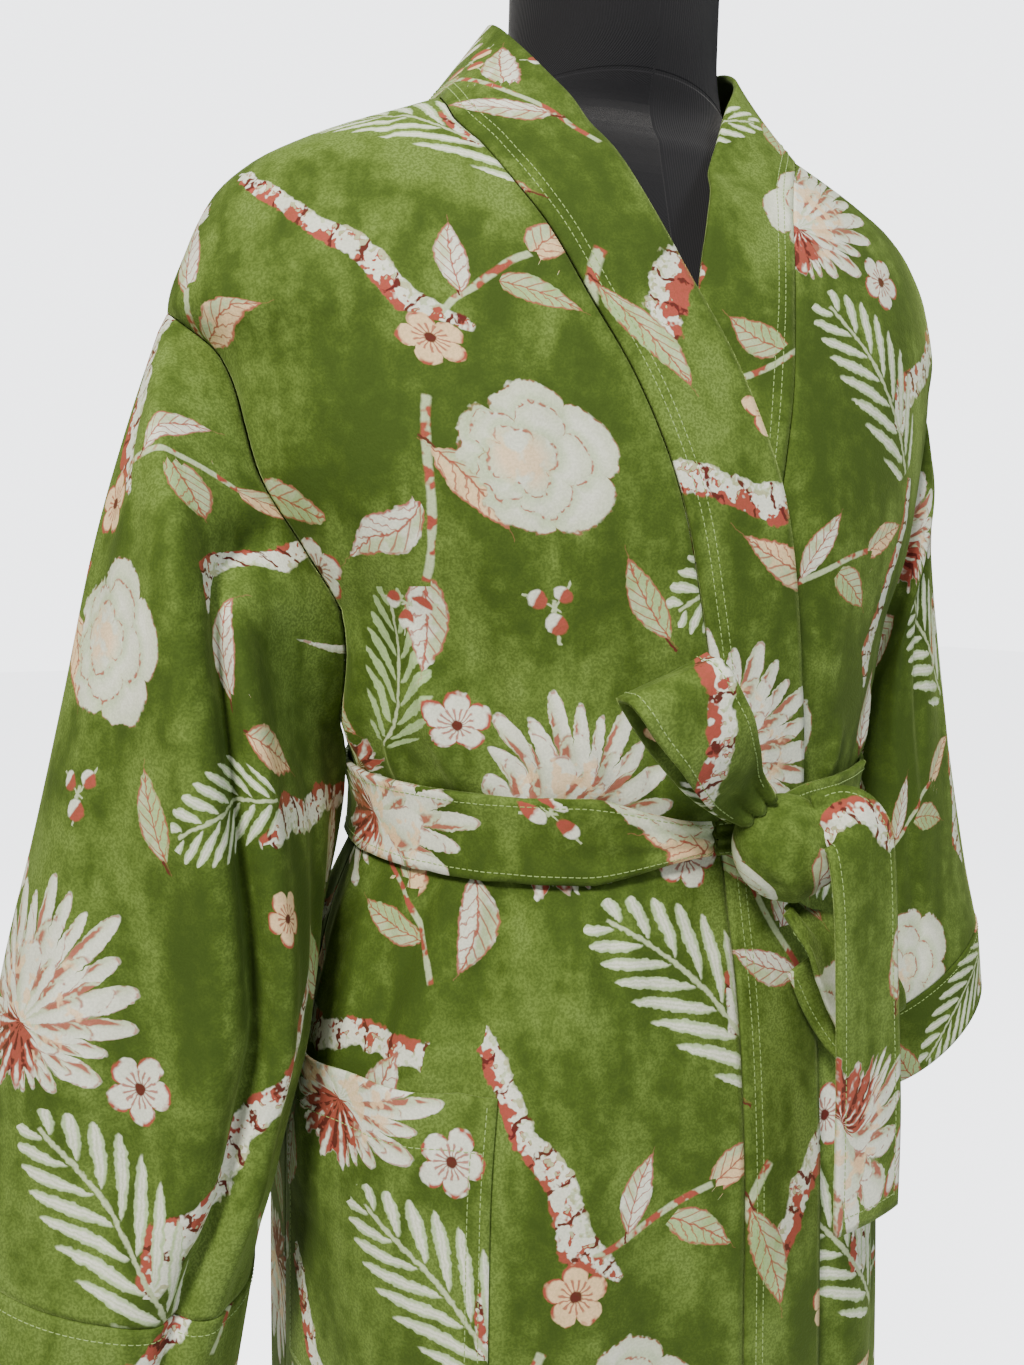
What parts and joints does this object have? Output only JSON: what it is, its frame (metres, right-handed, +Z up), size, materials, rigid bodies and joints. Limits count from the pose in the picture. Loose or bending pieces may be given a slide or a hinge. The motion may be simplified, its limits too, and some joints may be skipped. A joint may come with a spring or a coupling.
{
  "type": "kimono robe on a dress form",
  "caption": "Wrap-over velvet robe with wide sleeves, a neckband and a tied cloth belt, worn open at the neck and hem by a limbless dress form on a round stand.",
  "frame": {"origin": "on the floor, at the middle of the stand's underside", "axes": "+Z up, the front looks toward -Y, the wearer's left is +X"},
  "size_m": [0.671, 0.43, 1.546],
  "materials": {
    "velvet": "printed cotton velvet",
    "form_cloth": "fine ribbed black jersey",
    "painted_steel": "satin black paint"
  },
  "bodies": {
    "root": {"front_right": "velvet", "front_left": "velvet", "back": "velvet", "sleeve_right": "velvet", "sleeve_left": "velvet", "cuff_right": "velvet", "cuff_left": "velvet", "neckband_right": "velvet", "neckband_left": "velvet", "pocket_right": "velvet", "belt_waist": "velvet", "belt_knot": "velvet", "belt_loop_upper": "velvet", "belt_loop_lower": "velvet", "belt_tail": "velvet", "form_torso": "form_cloth", "form_neck_cap": "painted_steel", "stand_pole": "painted_steel", "stand_base": "painted_steel"}
  },
  "joints": []
}
